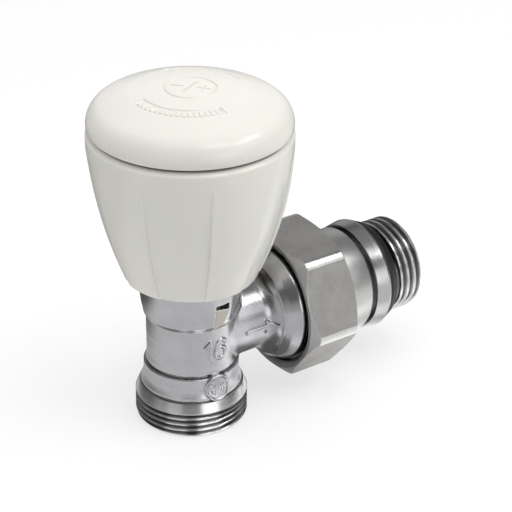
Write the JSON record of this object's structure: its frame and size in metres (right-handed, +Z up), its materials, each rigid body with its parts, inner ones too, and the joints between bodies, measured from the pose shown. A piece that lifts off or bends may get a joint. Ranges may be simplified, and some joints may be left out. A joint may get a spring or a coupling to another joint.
{
  "type": "lockshield valve",
  "caption": "Angle radiator valve: threaded inlet below, union tail with a self-sealing thread to the side, and a round hand cap that turns a spindle to shut the flow.",
  "frame": {"origin": "centre of the inlet's bottom face, on the axis of the spindle and the inlet", "axes": "+Z up the spindle's axis to the hand cap, +X out along the outlet, which lies at z = 19.6 mm"},
  "size_m": [0.0763, 0.0422, 0.0754],
  "materials": {
    "satin_chrome": "satin chrome plating over forged brass, slightly grained",
    "nickel_nut": "matt nickel plating with bright turned corners",
    "bright_chrome": "turned and chrome plated brass",
    "machined_brass": "bare turned brass",
    "spring_steel": "bright zinc plated steel",
    "black_epdm": "matt black EPDM rubber",
    "white_abs": "warm white ABS, satin gloss",
    "white_nylon": "natural white nylon"
  },
  "bodies": {
    "valve": {"valve_body": "satin_chrome", "headwork": "machined_brass", "headwork_seal": "black_epdm", "thrust_washer": "white_nylon"},
    "cap": {"cap_skirt": "white_abs", "drive_bush": "white_nylon", "cap_screw": "spring_steel", "cap_screw_washer": "spring_steel", "spindle": "machined_brass", "spindle_clip": "spring_steel", "spindle_o_rings": "black_epdm"},
    "disc": {"top_disc": "white_abs"},
    "plug": {"plug_carrier": "machined_brass", "plug_washer": "black_epdm", "plug_screw": "spring_steel"},
    "tail": {"tailpiece": "bright_chrome", "backing_ring": "bright_chrome", "tail_seal": "black_epdm", "union_o_ring": "black_epdm"},
    "nut": {"union_nut": "nickel_nut"}
  },
  "joints": [
    {"name": "cap_turn", "type": "hinge", "parent": "valve", "child": "cap", "pos_m": [0, 0, 0.045], "axis": [0, 0, 1], "range_deg": [0, 990]},
    {"name": "plug_lift", "type": "slide", "parent": "valve", "child": "plug", "axis": [0, 0, 1], "range_m": [0, 0.00413]},
    {"name": "disc_pull", "type": "slide", "parent": "cap", "child": "disc", "axis": [0, 0, 1], "range_m": [0, 0.014]},
    {"name": "tail_draw", "type": "slide", "parent": "valve", "child": "tail", "axis": [1, 0, 0], "range_m": [0, 0.00635]},
    {"name": "nut_turn", "type": "hinge", "parent": "tail", "child": "nut", "pos_m": [0.027, 0, 0.0196], "axis": [1, 0, 0], "range_deg": [0, 1260]}
  ],
  "couplings": [
    {"joint": "plug_lift", "follows": "cap_turn", "m_per_rad": 0.00023873},
    {"joint": "tail_draw", "follows": "nut_turn", "m_per_rad": 0.00028871}
  ]
}
